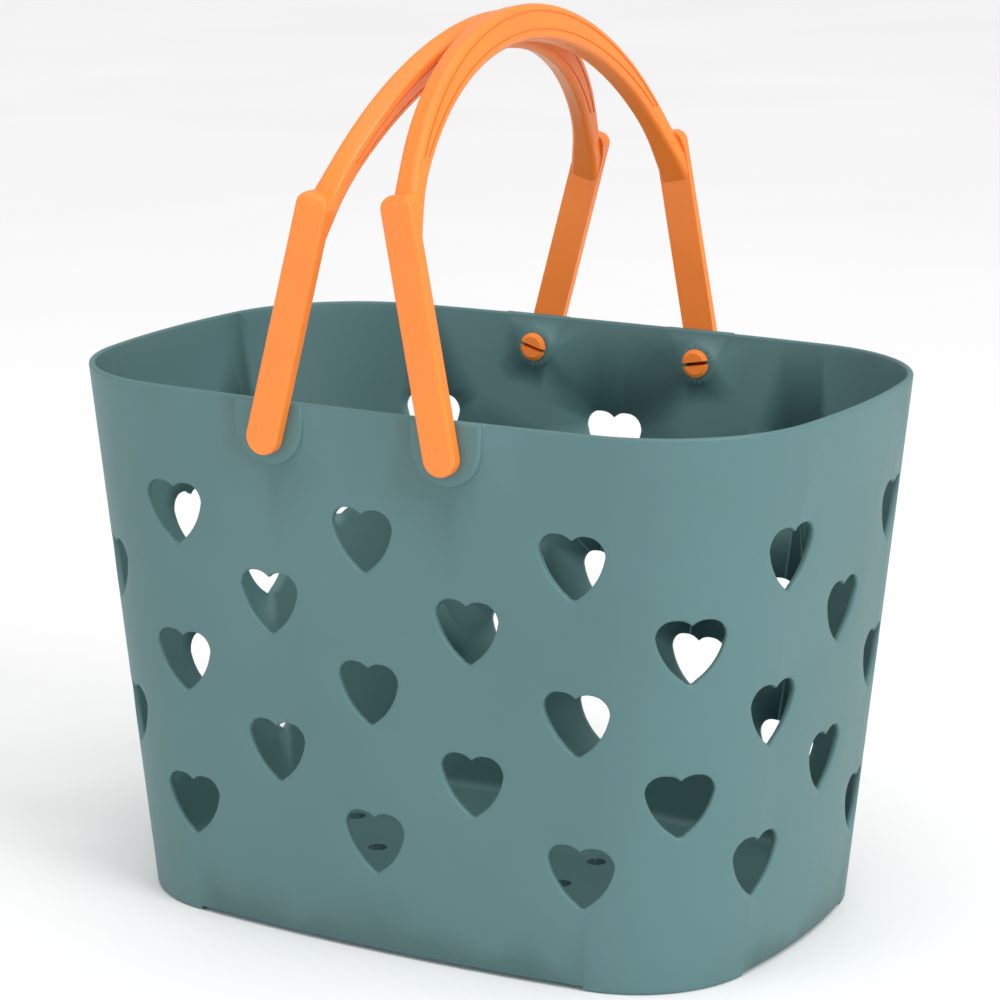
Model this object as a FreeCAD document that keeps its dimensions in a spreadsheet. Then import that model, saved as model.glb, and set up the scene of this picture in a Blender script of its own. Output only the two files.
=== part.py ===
import FreeCAD, Part
import math
import os
import Sketcher

# A moulded shower caddy: a tapered tote with bowed walls and heart-shaped drain
# holes, and two bail handles that snap into the long walls and lean together.
# +Z is up, X runs along the caddy and Y across it.  The origin is on the surface
# the caddy stands on, under its middle.  Everything is in millimetres.

Vector = FreeCAD.Vector
doc = FreeCAD.newDocument("shower_caddy")

# ------------------------------------------------------------------ sizes
# alias, value, meaning
SIZES = [
    # the tote
    ("length", 280.0, "rim length, over the bowed end walls"),
    ("width", 180.0, "rim width, over the bowed long walls"),
    ("height", 191.0, "rim height above the surface it stands on"),
    ("end_taper", 19.4, "how far each end wall comes in towards the base"),
    ("side_taper", 9.2, "how far each long wall comes in towards the base"),
    ("rim_corner", 56.0, "corner radius at the rim"),
    ("base_corner", 45.0, "corner radius at the base"),
    ("rim_long_bow", 7.2, "outward bow of a long wall at the rim"),
    ("base_long_bow", 9.8, "outward bow of a long wall at the base"),
    ("end_bow", 14.5, "outward bow of an end wall"),
    ("wall", 2.2, "wall thickness"),
    ("floor", 2.4, "floor thickness"),
    ("rim_flat", 0.3, "flat left on the rim between its two rounded edges"),
    ("base_round", 1.5, "rounding of the outer edge under the feet"),
    ("floor_round", 4.0, "inside rounding between floor and wall"),
    # feet
    ("foot_drop", 1.8, "how far the corner feet reach below the floor"),
    ("foot_rib", 9.0, "width of the rib that makes a foot"),
    ("foot_gap_long", 77.0, "half the gap between feet along a long wall"),
    ("foot_gap_end", 39.0, "half the gap between feet along an end wall"),
    # hearts
    ("heart_width", 23.2, "width of a heart"),
    ("heart_tall", 21.8, "height of a heart, lobe to tip"),
    ("heart_notch", 1.9, "depth of the notch below the lobes"),
    ("heart_tip", 2.4, "radius of the rounded tip"),
    ("heart_drop", 44.4, "depth of the top row's middle below the rim"),
    ("heart_low", 40.4, "height of the bottom row's middle"),
    ("heart_side_margin", 62.8, "distance of a long wall's last column from the rim's end"),
    ("heart_end_margin", 51.2, "distance of an end wall's last column from the rim's side"),
    ("heart_corner_angle", 48.5, "direction the corner hearts face, from X"),
    # the heart's outline, as shares of its half width unless another is named
    ("lobe_out", 0.47, "where a lobe is highest, out from the middle"),
    ("shoulder_down", 0.52, "where the heart is widest, below the top"),
    ("brow_out", 0.875, "a point of the arc from lobe to shoulder, out from the middle"),
    ("brow_down", 0.17, "the same point, below the top"),
    ("notch_out", 0.30, "a point of the arc from notch to lobe, as a share of lobe_out"),
    ("notch_up", 0.62, "the same point, as a share of the notch's depth"),
    ("waist_out", 0.72, "a point of the bowed side, out from the middle"),
    ("waist_down", 0.30, "the same point, as a share of the half height"),
    ("tip_out", 0.78, "where the side meets the tip, in tip radii from the middle"),
    ("tip_up", 0.42, "the same point, in tip radii above the heart's end"),
    # floor drain holes
    ("drain_radius", 3.5, "radius of a drain hole in the floor"),
    ("drain_step", 26.0, "spacing of the drain holes"),
    # handle pads on the long walls
    ("pivot_x", 34.0, "distance of a handle's axis from the middle"),
    ("pivot_drop", 11.8, "depth of the handle's axis below the rim"),
    ("pad_width", 26.4, "width of a raised pad"),
    ("pad_drop", 8.6, "depth of the pad's arc centre below the rim"),
    ("pad_proud", 2.0, "how far a pad stands off the wall at the axis"),
    ("pad_round", 1.3, "rounding of a pad's edge"),
    ("pad_depth", 3.2, "thickness of a pad, down into the wall"),
    ("boss_radius", 8.0, "radius of the flat boss inside the wall"),
    ("boss_proud", 1.0, "how far the boss stands off the inside at the axis"),
    ("hole_radius", 3.95, "radius of the hole for a handle's stud"),
    # handles
    ("stud_clearance", 0.05, "radial clearance of a stud in its hole"),
    ("side_gap", 0.3, "gap between a strap and its pad"),
    ("head_radius", 5.2, "radius of the stud's snap head"),
    ("head_thick", 1.6, "thickness of the snap head"),
    ("stud_slot", 1.4, "width of the slot that lets the stud spring"),
    ("strap_foot_radius", 6.1, "radius of a strap's round foot"),
    ("strap_top_width", 11.9, "width of a strap at the knee"),
    ("strap_thick", 4.2, "thickness of a strap"),
    ("strap_round", 1.5, "rounding of a strap's outer edges"),
    ("knee_top", 84.5, "height of the strap's domed top above the axis"),
    ("knee_round", 3.4, "rounding of the domed top from outside to top"),
    ("dome_corner", 4.8, "rounding of the domed top's two corners"),
    ("dome_rise", 0.4, "how far the corner arcs would reach above the domed top"),
    ("knee_inset", 6.8, "how far the grip sits inside the strap at the knee"),
    ("tuck_height", 76.0, "height where the strap's inner face turns in to the grip"),
    ("tuck_depth", 1.0, "how far the strap's top reaches into the grip"),
    ("arch_top", 136.6, "height of the grip's top above the axis"),
    ("grip_depth", 12.2, "depth of the grip at its top"),
    ("grip_width", 8.0, "width of the grip"),
    ("grip_round", 2.2, "rounding of the grip's long edges"),
    ("grip_blend_in", 66.0, "height where the grip's underside meets the strap"),
    ("grip_blend_out", 73.0, "lowest height where the grip's back ends in the strap"),
    ("grip_end_cover", 1.0, "least strap left outside the grip's end"),
    ("neck_high", 94.0, "height where the grip has narrowed to its own width"),
    ("dimple_radius", 1.1, "radius of the small dimple above a pivot"),
    ("dimple_rise", 3.0, "height of the dimple above the axis"),
    ("dimple_depth", 0.35, "depth of the dimple"),
    ("crease_width", 0.7, "width of a crease line along the grip"),
    ("crease_depth", 0.4, "depth of a crease line"),
    ("outer_crease", 2.5, "distance of the outer crease from the grip's back"),
    ("inner_crease", 2.9, "distance of the inner crease from its underside"),
    ("right_lean", 10.5, "degrees the right handle leans in at rest"),
    ("rest_gap", 0.1, "gap between the grips where they rest together"),
]

sheet = doc.addObject("Spreadsheet::Sheet", "sizes")
for row, (alias, value, meaning) in enumerate(SIZES, start=1):
    sheet.set(f"A{row}", "'" + meaning)
    sheet.set(f"B{row}", str(value))
    sheet.setAlias(f"B{row}", alias)
doc.recompute()


def number(expression):
    """The value of an expression over the sheet, as a plain number."""
    value = sheet.evalExpression(expression)
    return float(getattr(value, "Value", value))


# ------------------------------------------------------------------ shared geometry
RIM = {
    "half_x": "(sizes.length / 2)",
    "half_y": "(sizes.width / 2)",
    "long_bow": "sizes.rim_long_bow",
    "end_bow": "sizes.end_bow",
    "corner": "sizes.rim_corner",
}
BASE = {
    "half_x": "(sizes.length / 2 - sizes.end_taper)",
    "half_y": "(sizes.width / 2 - sizes.side_taper)",
    "long_bow": "sizes.base_long_bow",
    "end_bow": "sizes.end_bow",
    "corner": "sizes.base_corner",
}


def outline_at(height):
    """The outline's measures at a height, between the base's and the rim's."""
    share = f"(({height}) / sizes.height)"
    return {key: f"({BASE[key]} + ({RIM[key]} - {BASE[key]}) * {share})" for key in RIM}


def bow_radius(half, bow):
    return f"(({half} ^ 2 + {bow} ^ 2) / (2 * {bow}))"


def long_wall_y(height, x):
    """Distance of a long wall's outer face from the middle plane."""
    level = outline_at(height)
    radius = bow_radius(level["half_x"], level["long_bow"])
    return f"({level['half_y']} - {radius} + sqrt({radius} ^ 2 - ({x}) ^ 2))"


PIVOT_Z = "(sizes.height - sizes.pivot_drop)"
PAD_FACE = f"({long_wall_y(PIVOT_Z, 'sizes.pivot_x')} + sizes.pad_proud)"
BOSS_FACE = (f"({long_wall_y(PIVOT_Z, 'sizes.pivot_x')}"
             " - sizes.wall - sizes.boss_proud)")
STRAP_IN = f"({PAD_FACE} + sizes.side_gap)"
STRAP_OUT = f"({STRAP_IN} + sizes.strap_thick)"


# ------------------------------------------------------------------ building helpers
# plane: turn of a sketch laid on it, and the sign and name of the axis it moves along
PLANES = {
    "XY_Plane": (FreeCAD.Rotation(), 1, "z"),
    "XZ_Plane": (FreeCAD.Rotation(Vector(1, 0, 0), 90), -1, "y"),
    "YZ_Plane": (FreeCAD.Rotation(Vector(1, 1, 1), 120), 1, "x"),
}


def new_sketch(name, role, offset="0"):
    """A sketch on an origin plane, moved along the plane's normal."""
    sketch = doc.addObject("Sketcher::SketchObject", name)
    turn, sign, axis = PLANES[role]
    sketch.Placement = FreeCAD.Placement(Vector(), turn)
    sketch.setExpression(f"Placement.Base.{axis}", f"{sign} * ({offset})")
    return sketch


def bind(sketch, index, name, expression):
    sketch.renameConstraint(index, name)
    sketch.setExpression(f"Constraints.{name}", expression)


def draw_profile(sketch, corners, tag="p"):
    """A closed outline.  Each corner is (u, v) or (u, v, radius, turn), where the
    last two make the edge to the next corner an arc turning left (1) or right (-1)."""
    places = [Vector(number(corner[0]), number(corner[1]), 0) for corner in corners]
    edges = []
    for index, corner in enumerate(corners):
        start = places[index]
        end = places[(index + 1) % len(places)]
        if len(corner) == 2:
            edges.append((sketch.addGeometry(Part.LineSegment(start, end)), 1, 2))
            continue
        radius, turn = number(corner[2]), corner[3]
        chord = end - start
        rise = math.sqrt(radius ** 2 - (chord.Length / 2) ** 2)
        left = Vector(-chord.y, chord.x, 0).normalize()
        centre = (start + end) / 2 + left * rise * turn
        first, last = (start, end) if turn > 0 else (end, start)
        angles = [math.atan2(p.y - centre.y, p.x - centre.x) for p in (first, last)]
        circle = Part.Circle(centre, Vector(0, 0, 1), radius)
        arc = sketch.addGeometry(Part.ArcOfCircle(circle, angles[0], angles[1]))
        edges.append((arc, 1, 2) if turn > 0 else (arc, 2, 1))
        index_r = sketch.addConstraint(Sketcher.Constraint("Radius", arc, radius))
        bind(sketch, index_r, f"{tag}{index}_radius", corner[2])
    for index, (edge, start, _) in enumerate(edges):
        before, _, end = edges[index - 1]
        sketch.addConstraint(Sketcher.Constraint("Coincident", before, end, edge, start))
        for axis, key, value in (("DistanceX", "u", places[index].x),
                                 ("DistanceY", "v", places[index].y)):
            number_of = sketch.addConstraint(
                Sketcher.Constraint(axis, -1, 1, edge, start, value))
            expression = corners[index][0] if key == "u" else corners[index][1]
            bind(sketch, number_of, f"{tag}{index}_{key}", expression)


def draw_circle(sketch, u, v, radius, tag="c"):
    centre = Vector(number(u), number(v), 0)
    circle = sketch.addGeometry(Part.Circle(centre, Vector(0, 0, 1), number(radius)))
    index = sketch.addConstraint(Sketcher.Constraint("Radius", circle, number(radius)))
    bind(sketch, index, f"{tag}_radius", radius)
    index = sketch.addConstraint(
        Sketcher.Constraint("DistanceX", -1, 1, circle, 3, centre.x))
    bind(sketch, index, f"{tag}_u", u)
    index = sketch.addConstraint(
        Sketcher.Constraint("DistanceY", -1, 1, circle, 3, centre.y))
    bind(sketch, index, f"{tag}_v", v)


def outline_centres(level):
    """Radii and arc centres of the eight-arc outline, in numbers."""
    half_x, half_y = number(level["half_x"]), number(level["half_y"])
    corner = number(level["corner"])
    long_radius = number(bow_radius(level["half_x"], level["long_bow"]))
    end_radius = number(bow_radius(level["half_y"], level["end_bow"]))
    # the corner's circle is tangent inside both wall circles
    low = Vector(0, half_y - long_radius, 0)
    side = Vector(half_x - end_radius, 0, 0)
    reach_low, reach_side = long_radius - corner, end_radius - corner
    span = side - low
    along = (reach_low ** 2 - reach_side ** 2 + span.Length ** 2) / (2 * span.Length)
    away = math.sqrt(reach_low ** 2 - along ** 2)
    unit = Vector(span).normalize()
    middle = low + unit * along
    normal = Vector(unit.y, -unit.x, 0)
    centre = max((middle + normal * away, middle - normal * away),
                 key=lambda point: point.x + point.y)
    return long_radius, end_radius, corner, low, side, centre


def draw_outline(sketch, level, inset="0"):
    """The bowed, round-cornered outline as eight tangent arcs, counter-clockwise
    from the end wall on +X, drawn the inset inside the outer face."""
    long_radius, end_radius, corner, low, side, centre = outline_centres(level)
    shrink = number(inset)
    end_half = math.atan2(centre.y, centre.x - side.x)
    long_half = math.atan2(centre.x, centre.y - low.y)
    quarter = math.pi / 2
    arcs = []
    for step in range(4):
        if step % 2 == 0:
            sign = 1 if step == 0 else -1
            wall_centre, radius, half = side * sign, end_radius, end_half
        else:
            sign = 1 if step == 1 else -1
            wall_centre, radius, half = low * sign, long_radius, long_half
        facing = step * quarter
        arcs.append((wall_centre, radius, facing - half, facing + half))
        signs = ((1, 1), (-1, 1), (-1, -1), (1, -1))[step]
        corner_centre = Vector(centre.x * signs[0], centre.y * signs[1], 0)
        next_half = long_half if step % 2 == 0 else end_half
        arcs.append((corner_centre, corner, facing + half,
                     facing + quarter - next_half))
    for middle, radius, start, end in arcs:
        circle = Part.Circle(middle, Vector(0, 0, 1), radius - shrink)
        sketch.addGeometry(Part.ArcOfCircle(circle, start, end))
    for index in range(8):
        sketch.addConstraint(
            Sketcher.Constraint("Tangent", index, 2, (index + 1) % 8, 1))
    long_expr = bow_radius(level["half_x"], level["long_bow"])
    end_expr = bow_radius(level["half_y"], level["end_bow"])
    sketch.addConstraint(Sketcher.Constraint("PointOnObject", 0, 3, -1))
    sketch.addConstraint(Sketcher.Constraint("PointOnObject", 2, 3, -2))
    for wall, opposite in ((0, 4), (2, 6)):
        sketch.addConstraint(Sketcher.Constraint("Equal", wall, opposite))
        sketch.addConstraint(
            Sketcher.Constraint("Symmetric", wall, 3, opposite, 3, -1, 1))
    for corner_arc in (3, 5, 7):
        sketch.addConstraint(Sketcher.Constraint("Equal", 1, corner_arc))
    driven = (
        ("Radius", (0, end_radius - shrink), "end_radius", f"{end_expr} - ({inset})"),
        ("Radius", (2, long_radius - shrink), "long_radius", f"{long_expr} - ({inset})"),
        ("Radius", (1, corner - shrink), "corner", f"{level['corner']} - ({inset})"),
        ("DistanceX", (-1, 1, 0, 3, side.x), "end_centre",
         f"{level['half_x']} - {end_expr}"),
        ("DistanceY", (-1, 1, 2, 3, low.y), "long_centre",
         f"{level['half_y']} - {long_expr}"),
    )
    for kind, arguments, name, expression in driven:
        index = sketch.addConstraint(Sketcher.Constraint(kind, *arguments))
        bind(sketch, index, name, expression)


def extrude(sketch, length, symmetric=False, reverse=False):
    solid = doc.addObject("Part::Extrusion", sketch.Name + "_solid")
    solid.Base = sketch
    solid.DirMode = "Normal"
    solid.Solid = True
    solid.Symmetric = symmetric
    solid.Reversed = reverse
    solid.setExpression("LengthFwd", length)
    return solid


def loft(name, sections):
    solid = doc.addObject("Part::Loft", name)
    solid.Sections = sections
    solid.Solid = True
    solid.Ruled = True
    return solid


def mirrored(solid, normal, name):
    copy = doc.addObject("Part::Mirroring", name)
    copy.Source = solid
    copy.Normal = normal
    return copy


def fuse(name, shapes):
    whole = doc.addObject("Part::MultiFuse", name)
    whole.Shapes = shapes
    whole.Refine = False
    doc.recompute()
    return whole


def cut(name, base, tool):
    """Removes the tool, and stops if that removes nothing."""
    doc.recompute()
    before = base.Shape.Volume
    rest = doc.addObject("Part::Cut", name)
    rest.Base = base
    rest.Tool = tool
    rest.Refine = False
    doc.recompute()
    if rest.Shape.Volume > before - 1e-3:
        raise RuntimeError(f"{name} removed nothing")
    return rest


def fillet(name, base, radius, wanted):
    """Rounds every edge of the base that the test accepts."""
    doc.recompute()
    size = number(radius)
    picked = [(index + 1, size, size) for index, edge in enumerate(base.Shape.Edges)
              if wanted(edge)]
    if not picked:
        raise RuntimeError(f"{name} found no edge to round")
    rounded = doc.addObject("Part::Fillet", name)
    rounded.Base = base
    rounded.Edges = picked
    doc.recompute()
    return rounded


def at_z(height):
    """A test for edges that lie at one height."""
    level = number(height)
    return lambda edge: (abs(edge.BoundBox.ZMin - level) < 1e-4
                         and abs(edge.BoundBox.ZMax - level) < 1e-4)


def same_as(sketch):
    """A test for edges that lie where a sketch's edges do."""
    middles = [edge.CenterOfMass for edge in sketch.Shape.Edges]
    return lambda edge: any((edge.CenterOfMass - middle).Length < 1e-3
                            for middle in middles)


# ------------------------------------------------------------------ the tote
FLOOR_TOP = "(sizes.foot_drop + sizes.floor)"
RIM_ROUND = "((sizes.wall - sizes.rim_flat) / 2)"


def outline_sketch(name, level, height, inset="0"):
    sketch = new_sketch(name, "XY_Plane", height)
    draw_outline(sketch, level, inset)
    return sketch


def build_tote():
    block = loft("block", [outline_sketch("base", BASE, "0"),
                           outline_sketch("rim", RIM, "sizes.height")])
    block = fillet("rounded_base", block, "sizes.base_round", at_z("0"))
    block = fillet("rounded_block", block, RIM_ROUND, at_z("sizes.height"))
    block = fuse("block_with_pads", [block] + handle_pads())
    inner_rim = outline_sketch("inside_rim", RIM, "sizes.height", "sizes.wall")
    inside = loft("inside", [
        outline_sketch("inside_base", outline_at(FLOOR_TOP), FLOOR_TOP, "sizes.wall"),
        inner_rim])
    inside = fillet("rounded_inside", inside, "sizes.floor_round", at_z(FLOOR_TOP))
    shell = cut("shell", block, inside)
    shell = fillet("rounded_shell", shell, RIM_ROUND, same_as(inner_rim))
    shell = fuse("shell_with_bosses", [shell] + pivot_bosses())
    for name, tool in (("on_feet", underside()), ("gap_sides", foot_gap("sides")),
                       ("gap_ends", foot_gap("ends")), ("with_pivots", pivot_holes()),
                       ("with_drains", drain_holes())):
        shell = cut(name, shell, tool)
    return shell


def handle_pads():
    """Four raised pads under the rim, where the handles' straps turn."""
    sketch = new_sketch("handle_pads", "XZ_Plane", PAD_FACE)
    arc_z = "(sizes.height - sizes.pad_drop)"
    half = "sizes.pad_width / 2"
    for side, tag in ((-1, "left"), (1, "right")):
        middle = f"({side} * sizes.pivot_x)"
        draw_profile(sketch, [
            (f"{middle} + {half}", "sizes.height"),
            (f"{middle} - {half}", "sizes.height"),
            (f"{middle} - {half}", arc_z, half, 1),
            (middle, f"{arc_z} - {half}", half, 1),
            (f"{middle} + {half}", arc_z),
        ], tag)
    front = extrude(sketch, "sizes.pad_depth", reverse=True)
    face = number(PAD_FACE)
    front = fillet("rounded_pads", front, "sizes.pad_round",
                   lambda edge: edge.BoundBox.YMax < 1e-4 - face)
    return [front, mirrored(front, Vector(0, 1, 0), "pads_back")]


def pivot_bosses():
    """Flat round bosses inside the wall, which the studs' heads bear on."""
    sketch = new_sketch("pivot_bosses", "XZ_Plane", BOSS_FACE)
    for side, tag in ((-1, "left"), (1, "right")):
        draw_circle(sketch, f"{side} * sizes.pivot_x", PIVOT_Z, "sizes.boss_radius", tag)
    front = extrude(sketch, "sizes.boss_proud + sizes.wall / 2")
    return [front, mirrored(front, Vector(0, 1, 0), "bosses_back")]


def underside():
    """The hollow under the floor, inside the ribs that make the feet."""
    sketch = outline_sketch("underside", BASE, "0", "sizes.foot_rib")
    return extrude(sketch, "sizes.foot_drop")


def foot_gap(where):
    """The gap between two feet, along the long walls or the end walls."""
    half_x, half_y = {"sides": ("sizes.foot_gap_long", "sizes.width"),
                      "ends": ("sizes.length", "sizes.foot_gap_end")}[where]
    sketch = new_sketch("foot_gap_" + where, "XY_Plane")
    draw_profile(sketch, [(half_x, half_y), (f"-{half_x}", half_y),
                          (f"-{half_x}", f"-{half_y}"), (half_x, f"-{half_y}")])
    return extrude(sketch, "sizes.foot_drop")


def pivot_holes():
    sketch = new_sketch("pivot_holes", "XZ_Plane")
    for side, tag in ((-1, "left"), (1, "right")):
        draw_circle(sketch, f"{side} * sizes.pivot_x", PIVOT_Z, "sizes.hole_radius", tag)
    return extrude(sketch, "2 * sizes.width", symmetric=True)


def drain_holes():
    """A grid of drain holes, as many as the flat of the floor has room for."""
    sketch = new_sketch("drain_holes", "XY_Plane")
    step = number("sizes.drain_step")
    margin = number("sizes.base_corner") / 2 + number("sizes.foot_rib")
    columns = int((number(BASE["half_x"]) - margin) / step)
    rows = int((number(BASE["half_y"]) - margin) / step)
    for column in range(-columns, columns + 1):
        for line in range(-rows, rows + 1):
            draw_circle(sketch, f"{column} * sizes.drain_step",
                        f"{line} * sizes.drain_step", "sizes.drain_radius",
                        f"c{column + columns}_{line + rows}")
    return extrude(sketch, FLOOR_TOP)


# ------------------------------------------------------------------ hearts
HEART_ROWS = 5
SIDE_COLUMNS = 2      # on a long wall, each side of its middle column
END_COLUMNS = 1      # the same on an end wall


def heart_wire():
    """A heart in the XZ plane about its middle, tip down: two lobe arcs, two bowed
    sides and a rounded tip."""
    half = number("sizes.heart_width") / 2
    top = number("sizes.heart_tall") / 2
    notch = top - number("sizes.heart_notch")
    tip = number("sizes.heart_tip")
    lobe_x = half * number("sizes.lobe_out")
    shoulder = top - half * number("sizes.shoulder_down")
    dip = Vector(lobe_x * number("sizes.notch_out"), 0,
                 notch + (top - notch) * number("sizes.notch_up"))
    brow = Vector(half * number("sizes.brow_out"), 0,
                  top - half * number("sizes.brow_down"))
    waist = Vector(half * number("sizes.waist_out"), 0,
                   -top * number("sizes.waist_down"))
    tip_side = Vector(tip * number("sizes.tip_out"), 0,
                      -top + tip * number("sizes.tip_up"))
    edges = []
    for side in (1, -1):
        def place(point):
            return Vector(point.x * side, point.y, point.z)
        edges.append(Part.Arc(place(Vector(0, 0, notch)), place(dip),
                              place(Vector(lobe_x, 0, top))).toShape())
        edges.append(Part.Arc(place(Vector(lobe_x, 0, top)), place(brow),
                              place(Vector(half, 0, shoulder))).toShape())
        edges.append(Part.Arc(place(Vector(half, 0, shoulder)), place(waist),
                              place(tip_side)).toShape())
    edges.append(Part.Arc(tip_side, Vector(0, 0, -top),
                          Vector(-tip_side.x, 0, tip_side.z)).toShape())
    return Part.Wire(Part.__sortEdges__(edges))


def heart_places():
    """Where each heart sits, as (point on the wall, outward direction in degrees).
    Columns of three and of two hearts take turns all the way round."""
    top = number("sizes.height - sizes.heart_drop")
    row_step = (top - number("sizes.heart_low")) / (HEART_ROWS - 1)
    side_step = number("sizes.length / 2 - sizes.heart_side_margin") / SIDE_COLUMNS
    end_step = number("sizes.width / 2 - sizes.heart_end_margin") / END_COLUMNS
    thick = number("sizes.wall")
    rows = [top - index * row_step for index in range(HEART_ROWS)]
    places = []
    for column in range(-SIDE_COLUMNS, SIDE_COLUMNS + 1):
        x = column * side_step
        for z in rows[0::2] if column % 2 == 0 else rows[1::2]:
            y = number(long_wall_y(str(z), str(x))) - thick / 2
            places.append((Vector(x, y, z), 90))
            places.append((Vector(x, -y, z), -90))
    for column in range(-END_COLUMNS, END_COLUMNS + 1):
        y = column * end_step
        for z in rows[1::2] if column == 0 else rows[0::2]:
            _, end_radius, _, _, side, _ = outline_centres(outline_at(str(z)))
            lean = math.asin(y / end_radius)
            x = side.x + (end_radius - thick / 2) * math.cos(lean)
            places.append((Vector(x, y, z), math.degrees(lean)))
            places.append((Vector(-x, y, z), 180 - math.degrees(lean)))
    facing = number("sizes.heart_corner_angle")
    for z in rows[1::2]:
        _, _, corner, _, _, centre = outline_centres(outline_at(str(z)))
        for side_x in (1, -1):
            for side_y in (1, -1):
                turn = math.atan2(side_y * math.sin(math.radians(facing)),
                                  side_x * math.cos(math.radians(facing)))
                reach = Vector(math.cos(turn), math.sin(turn), 0) * (corner - thick / 2)
                middle = Vector(centre.x * side_x, centre.y * side_y, z)
                places.append((middle + reach, math.degrees(turn)))
    return places


def build_hearts():
    """One solid per heart, long enough to pass through the wall."""
    depth = 2 * number("sizes.wall + sizes.boss_radius")
    prism = Part.Face(heart_wire()).extrude(Vector(0, depth, 0))
    prism.translate(Vector(0, -depth / 2, 0))
    cutters = []
    for point, facing in heart_places():
        cutter = prism.copy()
        cutter.rotate(Vector(0, 0, 0), Vector(0, 0, 1), facing - 90)
        cutter.translate(point)
        cutters.append(cutter)
    hearts = doc.addObject("Part::Feature", "hearts")
    hearts.Shape = Part.Compound(cutters)
    return hearts


def build_basket():
    tote = build_tote()
    basket = cut("with_hearts", tote, build_hearts())
    basket.Label = "basket"
    return basket


# ------------------------------------------------------------------ handles
# A handle is drawn upright: its axis is Y through the origin and its straps rise
# along +Z, alike at +Y and -Y.
GRIP_TOP = "sizes.arch_top"
GRIP_UNDER = "(sizes.arch_top - sizes.grip_depth)"
KNEE_Y = f"({STRAP_OUT} - sizes.knee_inset)"


def arch_radius(reach, rise):
    """Radius of an arc on the Y axis of symmetry through its top and one low point."""
    return f"((({reach}) ^ 2 + ({rise}) ^ 2) / (2 * ({rise})))"


UNDER_RADIUS = arch_radius(STRAP_IN, f"{GRIP_UNDER} - sizes.grip_blend_in")
BACK_RADIUS = arch_radius(KNEE_Y, f"{GRIP_TOP} - sizes.knee_top")


def arc_y(top, radius, height):
    """Half width of an arch at a height."""
    return f"sqrt({radius} ^ 2 - ({height} - ({top} - {radius})) ^ 2)"


def arc_z(top, radius, reach):
    """Height of an arch at a half width, or of its centre where it is narrower."""
    return f"({top} - {radius} + sqrt(max(0; {radius} ^ 2 - {reach} ^ 2)))"


# both arcs run on into the strap and end inside it
COVERED_Z = arc_z(GRIP_TOP, BACK_RADIUS, f"({STRAP_OUT} - sizes.grip_end_cover)")
BACK_END_Z = f"max(sizes.grip_blend_out; {COVERED_Z})"
BACK_END_Y = arc_y(GRIP_TOP, BACK_RADIUS, BACK_END_Z)
UNDER_END_Y = f"({STRAP_IN} + sizes.strap_thick / 4)"
UNDER_END_Z = arc_z(GRIP_UNDER, UNDER_RADIUS, UNDER_END_Y)


def build_grip(tag):
    """The arched grip: a crescent between two arcs, thickest at the top, which widens
    to the strap's width at its two ends."""
    side = new_sketch(tag + "_grip_side", "YZ_Plane")
    draw_profile(side, [
        (UNDER_END_Y, UNDER_END_Z),
        (BACK_END_Y, BACK_END_Z, BACK_RADIUS, 1),
        ("0", GRIP_TOP, BACK_RADIUS, 1),
        (f"-{BACK_END_Y}", BACK_END_Z),
        (f"-{UNDER_END_Y}", UNDER_END_Z, UNDER_RADIUS, -1),
        ("0", GRIP_UNDER, UNDER_RADIUS, -1),
    ])
    front = new_sketch(tag + "_grip_front", "XZ_Plane", f"-{STRAP_OUT}")
    wide, narrow = "sizes.strap_top_width / 2", "sizes.grip_width / 2"
    middle = f"(({wide} + {narrow}) / 2)"
    rise, run = f"(sizes.neck_high - {UNDER_END_Z})", f"({wide} - {narrow})"
    bend = f"(({rise} ^ 2 + {run} ^ 2) / (4 * {run}))"
    half_way = f"(({UNDER_END_Z} + sizes.neck_high) / 2)"
    draw_profile(front, [
        (wide, "0"),
        (wide, UNDER_END_Z, bend, 1),
        (middle, half_way, bend, -1),
        (narrow, "sizes.neck_high"),
        (narrow, "sizes.arch_top + sizes.grip_depth"),
        (f"-{narrow}", "sizes.arch_top + sizes.grip_depth"),
        (f"-{narrow}", "sizes.neck_high", bend, -1),
        (f"-{middle}", half_way, bend, 1),
        (f"-{wide}", UNDER_END_Z),
        (f"-{wide}", "0"),
    ])
    grip = doc.addObject("Part::Common", tag + "_grip")
    grip.Base = extrude(side, "2 * sizes.strap_top_width", symmetric=True)
    grip.Tool = extrude(front, f"2 * {STRAP_OUT}")
    return fillet(tag + "_grip_rounded", grip, "sizes.grip_round",
                  lambda edge: not isinstance(edge.Curve, (Part.Line, Part.LineSegment)))


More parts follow.
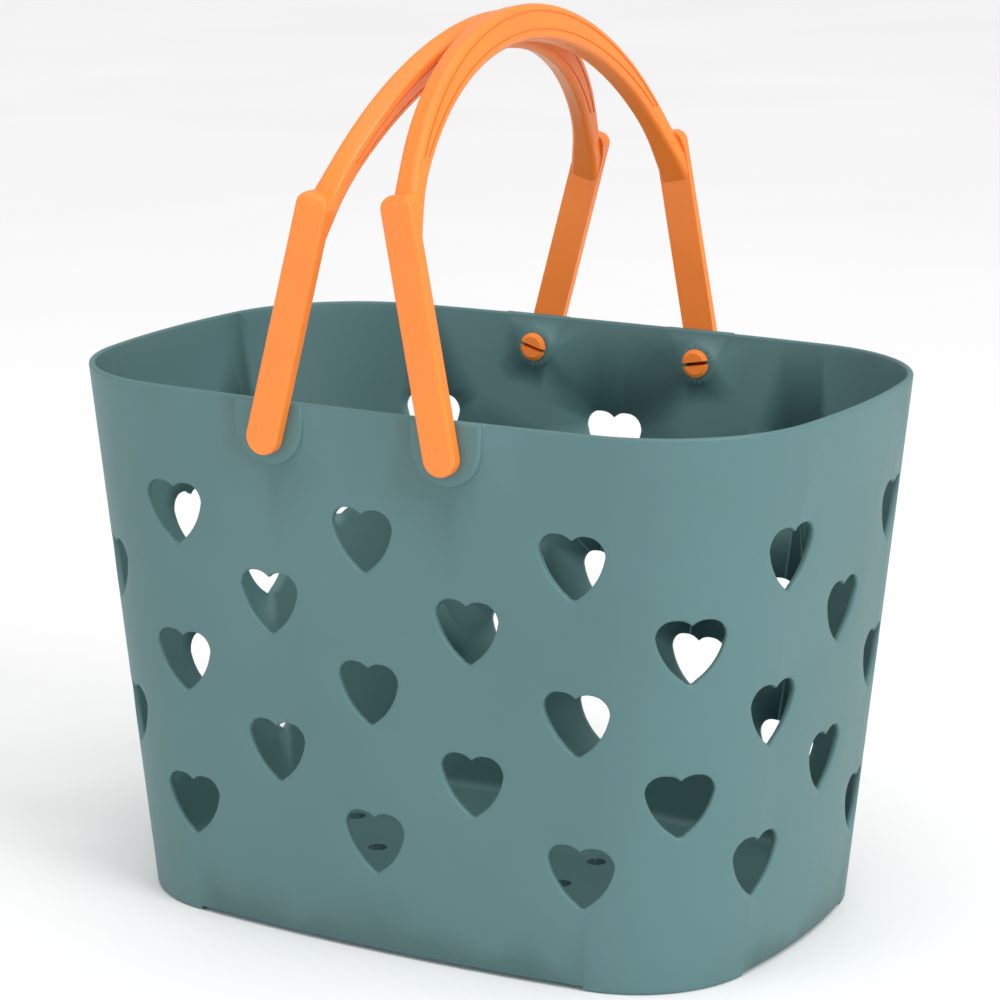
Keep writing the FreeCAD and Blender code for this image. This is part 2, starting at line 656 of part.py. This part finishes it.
def build_strap(tag):
    """The strap at +Y: round foot, slight taper and a domed top at the knee."""
    side = new_sketch(tag + "_strap_side", "YZ_Plane")
    draw_profile(side, [
        (STRAP_IN, "-sizes.strap_foot_radius"),
        (STRAP_OUT, "-sizes.strap_foot_radius"),
        (STRAP_OUT, "sizes.knee_top - sizes.knee_round", "sizes.knee_round", 1),
        (f"{STRAP_OUT} - sizes.knee_round", "sizes.knee_top"),
        (f"{KNEE_Y} - sizes.tuck_depth", "sizes.knee_top"),
        (STRAP_IN, "sizes.tuck_height"),
    ])
    front = new_sketch(tag + "_strap_front", "XZ_Plane")
    half = "sizes.strap_top_width / 2"
    foot = "sizes.strap_foot_radius"
    dome = "(sizes.knee_top + sizes.dome_rise)"
    shoulder = f"({dome} - sizes.dome_corner)"
    draw_profile(front, [
        (foot, "0"),
        (half, shoulder, "sizes.dome_corner", 1),
        (f"{half} - sizes.dome_corner", dome),
        (f"sizes.dome_corner - {half}", dome, "sizes.dome_corner", 1),
        (f"-{half}", shoulder),
        (f"-{foot}", "0", foot, 1),
        ("0", f"-{foot}", foot, 1),
    ])
    strap = doc.addObject("Part::Common", tag + "_strap")
    strap.Base = extrude(side, "4 * sizes.strap_foot_radius", symmetric=True)
    strap.Tool = extrude(front, f"2 * {STRAP_OUT}", reverse=True)
    doc.recompute()
    face = number(STRAP_OUT)
    strap = fillet(tag + "_strap_rounded", strap, "sizes.strap_round",
                   lambda edge: edge.BoundBox.YMin > face - 1e-4)
    ball = "(sizes.dimple_radius ^ 2 + sizes.dimple_depth ^ 2) / (2 * sizes.dimple_depth)"
    dimple = doc.addObject("Part::Sphere", tag + "_dimple")
    dimple.setExpression("Radius", ball)
    dimple.setExpression("Placement.Base.y", f"{STRAP_OUT} - sizes.dimple_depth + {ball}")
    dimple.setExpression("Placement.Base.z", "sizes.dimple_rise")
    return cut(tag + "_strap_dimpled", strap, dimple)


def build_stud(tag):
    """The split snap stud at +Y: a shank through the wall and a bevelled head inside."""
    gap = "sizes.side_gap"
    head_outer = f"({BOSS_FACE} - {gap})"
    shank_radius = "(sizes.hole_radius - sizes.stud_clearance)"
    pieces = []
    for part, radius, narrow, outer, length in (
            ("shank", shank_radius, shank_radius, f"({STRAP_IN} + sizes.strap_thick / 2)",
             f"({STRAP_IN} + sizes.strap_thick / 2 - {head_outer})"),
            ("head", "sizes.head_radius", "sizes.head_radius", head_outer,
             "sizes.head_thick / 2"),
            ("bevel", "sizes.head_radius", shank_radius,
             f"({head_outer} - sizes.head_thick / 2)", "sizes.head_thick / 2")):
        cone = "bevel" in part
        piece = doc.addObject("Part::Cone" if cone else "Part::Cylinder",
                              f"{tag}_{part}")
        piece.Placement = FreeCAD.Placement(
            Vector(), FreeCAD.Rotation(Vector(1, 0, 0), 90))
        piece.setExpression("Placement.Base.y", outer)
        piece.setExpression("Height", length)
        if cone:
            piece.setExpression("Radius1", radius)
            piece.setExpression("Radius2", narrow)
        else:
            piece.setExpression("Radius", radius)
        pieces.append(piece)
    stud = fuse(tag + "_stud", pieces)
    slot = doc.addObject("Part::Box", tag + "_stud_slot")
    slot.setExpression("Length", "4 * sizes.head_radius")
    slot.setExpression("Width", f"{PAD_FACE} - {BOSS_FACE} + {gap} + sizes.head_thick")
    slot.setExpression("Height", "sizes.stud_slot")
    slot.setExpression("Placement.Base.x", "-2 * sizes.head_radius")
    slot.setExpression("Placement.Base.y", f"{head_outer} - sizes.head_thick")
    slot.setExpression("Placement.Base.z", "-sizes.stud_slot / 2")
    return cut(tag + "_split_stud", stud, slot)


def build_creases(tag):
    """The two lines along each side of the grip, following its back and underside."""
    tools = []
    for line, top, radius, depth in (
            ("back", GRIP_TOP, BACK_RADIUS, "sizes.outer_crease"),
            ("under", GRIP_UNDER, UNDER_RADIUS,
             "(-sizes.inner_crease - sizes.crease_width)")):
        sketch = new_sketch(f"{tag}_{line}_crease", "YZ_Plane",
                            "sizes.grip_width / 2 - sizes.crease_depth")
        centre = f"({top} - {radius})"
        for ring, drop in (("outer", depth), ("inner", f"({depth} + sizes.crease_width)")):
            draw_circle(sketch, "0", centre, f"({radius} - {drop})", ring)
        side = extrude(sketch, "sizes.crease_depth * 2")
        tools += [side, mirrored(side, Vector(1, 0, 0), f"{tag}_{line}_crease_other")]
    rings = doc.addObject("Part::MultiFuse", tag + "_crease_rings")
    rings.Shapes = tools
    # only the stretch of the grip's own width carries the lines
    above = doc.addObject("Part::Box", tag + "_above_necks")
    above.setExpression("Length", "4 * sizes.grip_width")
    above.setExpression("Width", f"2 * {STRAP_OUT}")
    above.setExpression("Height", "sizes.arch_top")
    above.setExpression("Placement.Base.x", "-2 * sizes.grip_width")
    above.setExpression("Placement.Base.y", f"-{STRAP_OUT}")
    above.setExpression("Placement.Base.z", "sizes.neck_high")
    creases = doc.addObject("Part::Common", tag + "_creases")
    creases.Base = rings
    creases.Tool = above
    return creases


def build_handle(name, side, lean):
    """One handle.  Side is -1 for the left one and 1 for the right one; each leans
    towards the middle by its own angle."""
    half = fuse(name + "_half", [build_strap(name), build_stud(name)])
    other = mirrored(half, Vector(0, 1, 0), name + "_other_half")
    whole = fuse(name + "_whole", [build_grip(name), half, other])
    handle = cut(name + "_handle", whole, build_creases(name))
    handle.Label = name + "_handle"
    handle.Placement = FreeCAD.Placement(
        Vector(side * number("sizes.pivot_x"), 0, number(PIVOT_Z)),
        FreeCAD.Rotation(Vector(0, -side, 0), number(lean)))
    handle.setExpression("Placement.Base.x", f"{side} * sizes.pivot_x")
    handle.setExpression("Placement.Base.z", PIVOT_Z)
    handle.setExpression("Placement.Rotation.Angle", f"({lean}) * 1 deg")
    doc.recompute()
    return handle


def resting_lean():
    """The left handle's lean, which lays its grip's rounded edge against the flat
    side of the right one's grip."""
    high = "(sizes.arch_top - sizes.grip_round)"
    wide = "(sizes.grip_width / 2 - sizes.grip_round)"
    lean = "(sizes.right_lean * 1 deg)"
    apart = "(sizes.grip_width / 2 + sizes.grip_round + sizes.rest_gap)"
    side = f"(2 * sizes.pivot_x * cos({lean}) - {apart})"
    return (f"((asin({side} / sqrt({high} ^ 2 + {wide} ^ 2)) - {lean}"
            f" - atan({wide} / {high})) / 1 deg)")


# ------------------------------------------------------------------ the pieces
pieces = [build_basket(), build_handle("left", -1, resting_lean()),
          build_handle("right", 1, "sizes.right_lean")]
doc.recompute()

faults = [f"{item.Label}: {state}" for item in doc.Objects for state in item.State
          if state in ("Invalid", "Error")]
for piece in pieces:
    if piece.Shape.isNull() or not piece.Shape.isValid() or len(piece.Shape.Solids) != 1:
        faults.append(f"{piece.Label}: the shape is not one valid solid")
if faults:
    raise RuntimeError("; ".join(faults))

os.makedirs("parts", exist_ok=True)
for piece in pieces:
    piece.Shape.exportStep(f"parts/{piece.Label}.step")
    print(piece.Label, round(piece.Shape.Volume), len(piece.Shape.Faces), "faces")
print("left lean", round(number(resting_lean()), 3))
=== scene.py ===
import bmesh
import bpy
import math
from mathutils import Matrix, Vector


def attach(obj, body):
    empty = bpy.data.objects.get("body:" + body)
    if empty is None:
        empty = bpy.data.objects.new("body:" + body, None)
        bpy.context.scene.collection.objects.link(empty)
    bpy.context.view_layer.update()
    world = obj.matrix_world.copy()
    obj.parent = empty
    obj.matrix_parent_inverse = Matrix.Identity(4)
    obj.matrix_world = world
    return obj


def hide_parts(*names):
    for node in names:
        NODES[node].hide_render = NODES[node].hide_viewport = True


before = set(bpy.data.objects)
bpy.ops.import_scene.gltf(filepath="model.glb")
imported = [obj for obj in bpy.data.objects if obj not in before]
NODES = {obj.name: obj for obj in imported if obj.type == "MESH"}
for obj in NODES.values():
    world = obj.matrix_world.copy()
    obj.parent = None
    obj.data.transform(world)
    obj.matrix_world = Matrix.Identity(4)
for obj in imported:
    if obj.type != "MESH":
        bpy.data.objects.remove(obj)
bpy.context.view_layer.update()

# ------------------------------------------------------------------ measures (metres)
AZIMUTH = math.radians(30.43)
ELEVATION = math.radians(15.76)
ROLL = math.radians(-0.32)
DISTANCE = 1.1562
FOCAL = 117.5
SENSOR = 36.0
SHIFT = (0.0024, 0.1277)
AIM = Vector((0.0, 0.0, 0.09565))

TEAL = (0.088, 0.186, 0.191)
ORANGE = (0.96, 0.245, 0.030)

HEART_ROUND = 0.0008      # rounding of a heart's outer edge
HEART_STEPS = 3      # faces across that rounding
HEARTS_LOW, HEARTS_HIGH = 0.027, 0.162      # heights between which the hearts lie
HEART_TURN = math.radians(50)      # least angle between the faces at a heart's edge
WALL_OUT, SIDE_OUT = 0.75, 0.6      # an outer wall faces out more than this, a heart's side less
WELD = 1e-6      # corners closer than this are one corner
CORE = 0.06      # half the stretch of the X axis that the walls are taken to face away from
SHARP = math.radians(35)      # edges that turn more than this are shaded sharp

CLEAR_WHITE = (1.0, 1.0, 1.0, 1.0)
WORLD_STRENGTH = 0.62
LIGHTS_AIM = (0.0, 0.0, 0.12)
# name, place, power in watts, width
AREA_LIGHTS = (
    ("key", (1.7, -0.5, 1.2), 20.0, 1.0),
    ("fill", (-1.2, -1.7, 0.9), 6.0, 1.4),
)
SKY_STRENGTH = 1.15
SKY_SPREAD = math.radians(70)
SKY_TURN = (math.radians(8), math.radians(10), 0.0)
CLIP_END = 20.0
FLOOR_HALF = 4.0
FLOOR_SHADES = ((0.3, (0.91, 0.91, 0.91)), (0.7, (0.94, 0.94, 0.94)))


# ------------------------------------------------------------------ node helpers
class Nodes:
    """A material's node tree, with short calls to add and join nodes."""

    def __init__(self, name):
        self.material = bpy.data.materials.new(name)
        self.material.use_nodes = True
        self.tree = self.material.node_tree
        self.shader = self.tree.nodes["Principled BSDF"]

    def add(self, kind):
        return self.tree.nodes.new("ShaderNode" + kind)

    def join(self, source, target):
        self.tree.links.new(source, target)

    def noise(self, scale, detail=3.0, roughness=0.5):
        """Noise in the object's own space, which moves with the piece."""
        place = self.add("TexCoord")
        noise = self.add("TexNoise")
        noise.inputs["Scale"].default_value = scale
        noise.inputs["Detail"].default_value = detail
        noise.inputs["Roughness"].default_value = roughness
        self.join(place.outputs["Object"], noise.inputs["Vector"])
        return noise.outputs["Fac"]

    def spread(self, source, low, high, low_in=0.3, high_in=0.7):
        """Maps a 0 to 1 value onto a range."""
        node = self.add("MapRange")
        node.inputs["From Min"].default_value = low_in
        node.inputs["From Max"].default_value = high_in
        node.inputs["To Min"].default_value = low
        node.inputs["To Max"].default_value = high
        self.join(source, node.inputs["Value"])
        return node.outputs["Result"]

    def shades(self, source, *stops):
        """Colours along a 0 to 1 value, as (position, colour) stops."""
        ramp = self.add("ValToRGB")
        elements = ramp.color_ramp.elements
        while len(elements) < len(stops):
            elements.new(0.5)
        for element, (position, colour) in zip(elements, stops):
            element.position = position
            element.color = (*colour, 1.0)
        self.join(source, ramp.inputs["Fac"])
        return ramp.outputs["Color"]

    def bump(self, height, strength, distance, below=None):
        node = self.add("Bump")
        node.inputs["Strength"].default_value = strength
        node.inputs["Distance"].default_value = distance
        self.join(height, node.inputs["Height"])
        if below is not None:
            self.join(below, node.inputs["Normal"])
        return node.outputs["Normal"]


def tint(colour, factor):
    return tuple(min(1.0, channel * factor) for channel in colour)


def basket_plastic():
    """Fine-grained matte polypropylene, a little cloudy in colour."""
    made = Nodes("basket_plastic")
    clouds = made.noise(scale=14.0, detail=2.0)
    made.join(made.shades(clouds, (0.30, tint(TEAL, 0.96)), (0.70, tint(TEAL, 1.04))),
              made.shader.inputs["Base Color"])
    grain = made.noise(scale=1500.0, detail=3.0, roughness=0.6)
    made.join(made.spread(grain, low=0.46, high=0.56), made.shader.inputs["Roughness"])
    waves = made.bump(made.noise(scale=30.0, detail=2.0), strength=0.06, distance=0.0006)
    skin = made.bump(grain, strength=0.10, distance=0.00012, below=waves)
    made.join(skin, made.shader.inputs["Normal"])
    made.shader.inputs["Specular IOR Level"].default_value = 0.45
    return made.material


def handle_plastic():
    """Smooth polypropylene with a soft gloss and faint flow marks."""
    made = Nodes("handle_plastic")
    flow = made.noise(scale=22.0, detail=3.0)
    made.join(made.shades(flow, (0.30, tint(ORANGE, 0.95)), (0.70, tint(ORANGE, 1.05))),
              made.shader.inputs["Base Color"])
    patches = made.noise(scale=160.0, detail=3.0)
    made.join(made.spread(patches, low=0.30, high=0.40), made.shader.inputs["Roughness"])
    waves = made.bump(made.noise(scale=45.0, detail=2.0), strength=0.10, distance=0.0006)
    fine = made.bump(made.noise(scale=1100.0, detail=2.0), strength=0.05, distance=0.0001,
                     below=waves)
    made.join(fine, made.shader.inputs["Normal"])
    made.shader.inputs["Subsurface Weight"].default_value = 0.12
    made.shader.inputs["Subsurface Radius"].default_value = (0.004, 0.002, 0.001)
    return made.material


def dress(node, material):
    piece = NODES[node]
    piece.data.materials.clear()
    piece.data.materials.append(material)


# ------------------------------------------------------------------ the basket's shell
def faces_out(face):
    """How far a face looks away from the middle of the basket, from -1 to 1."""
    centre = face.calc_center_median()
    near = Vector((max(-CORE, min(CORE, centre.x)), 0.0, 0.0))
    away = Vector((centre.x, centre.y, 0.0)) - near
    return face.normal.dot(away.normalized())


def is_heart_edge(edge):
    """True on a heart's outer edge, where the outer wall meets the heart's side."""
    if len(edge.link_faces) != 2:
        return False
    if not all(HEARTS_LOW < corner.co.z < HEARTS_HIGH for corner in edge.verts):
        return False
    if edge.calc_face_angle() < HEART_TURN:
        return False
    inner, outer = sorted(faces_out(face) for face in edge.link_faces)
    return outer > WALL_OUT and inner < SIDE_OUT


def add_shell(material):
    """A copy of the basket's mesh with the hearts' outer edges rounded, shown in its place."""
    shell = bmesh.new()
    shell.from_mesh(NODES["basket"].data)
    bmesh.ops.remove_doubles(shell, verts=shell.verts, dist=WELD)
    shell.normal_update()
    edges = [edge for edge in shell.edges if is_heart_edge(edge)]
    bmesh.ops.bevel(shell, geom=edges, offset=HEART_ROUND, segments=HEART_STEPS,
                    profile=0.5, affect="EDGES", clamp_overlap=False)
    mesh = bpy.data.meshes.new("basket_shell")
    shell.to_mesh(mesh)
    shell.free()
    mesh.shade_smooth()
    mesh.set_sharp_from_angle(angle=SHARP)
    piece = bpy.data.objects.new("basket_shell", mesh)
    bpy.context.scene.collection.objects.link(piece)
    mesh.materials.append(material)
    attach(piece, "basket")
    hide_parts("basket")


# ------------------------------------------------------------------ studio
def add_camera():
    data = bpy.data.cameras.new("camera")
    data.lens = FOCAL
    data.sensor_width = SENSOR
    data.shift_x, data.shift_y = SHIFT
    data.clip_end = CLIP_END
    camera = bpy.data.objects.new("camera", data)
    back = Vector((math.sin(AZIMUTH) * math.cos(ELEVATION),
                   -math.cos(AZIMUTH) * math.cos(ELEVATION), math.sin(ELEVATION)))
    turn = back.to_track_quat("Z", "Y").to_matrix() @ Matrix.Rotation(ROLL, 3, "Z")
    camera.matrix_world = Matrix.Translation(AIM + back * DISTANCE) @ turn.to_4x4()
    bpy.context.scene.collection.objects.link(camera)
    bpy.context.scene.camera = camera


def add_light(name, place, power, size):
    data = bpy.data.lights.new(name, "AREA")
    data.energy = power
    data.size = size
    light = bpy.data.objects.new(name, data)
    light.location = place
    aim = Vector(LIGHTS_AIM) - Vector(place)
    light.rotation_euler = aim.to_track_quat("-Z", "Y").to_euler()
    bpy.context.scene.collection.objects.link(light)


def add_studio():
    bpy.context.scene.view_settings.view_transform = "Standard"
    world = bpy.data.worlds.new("studio")
    world.use_nodes = True
    background = world.node_tree.nodes["Background"]
    background.inputs["Color"].default_value = CLEAR_WHITE
    background.inputs["Strength"].default_value = WORLD_STRENGTH
    bpy.context.scene.world = world
    for name, place, power, size in AREA_LIGHTS:
        add_light(name, place, power, size)
    sky = bpy.data.lights.new("sky", "SUN")
    sky.energy = SKY_STRENGTH
    sky.angle = SKY_SPREAD
    overhead = bpy.data.objects.new("sky", sky)
    overhead.rotation_euler = SKY_TURN
    bpy.context.scene.collection.objects.link(overhead)


def add_floor():
    mesh = bpy.data.meshes.new("floor")
    half = FLOOR_HALF
    mesh.from_pydata([(-half, -half, 0), (half, -half, 0), (half, half, 0), (-half, half, 0)],
                     [], [(0, 1, 2, 3)])
    floor = bpy.data.objects.new("floor", mesh)
    bpy.context.scene.collection.objects.link(floor)
    made = Nodes("floor")
    shade = made.shades(made.noise(scale=3.0, detail=2.0), *FLOOR_SHADES)
    made.join(shade, made.shader.inputs["Base Color"])
    made.shader.inputs["Roughness"].default_value = 0.7
    mesh.materials.append(made.material)


add_camera()
add_studio()
add_floor()
teal = basket_plastic()
dress("basket", teal)
add_shell(teal)
orange = handle_plastic()
dress("left_handle", orange)
dress("right_handle", orange)
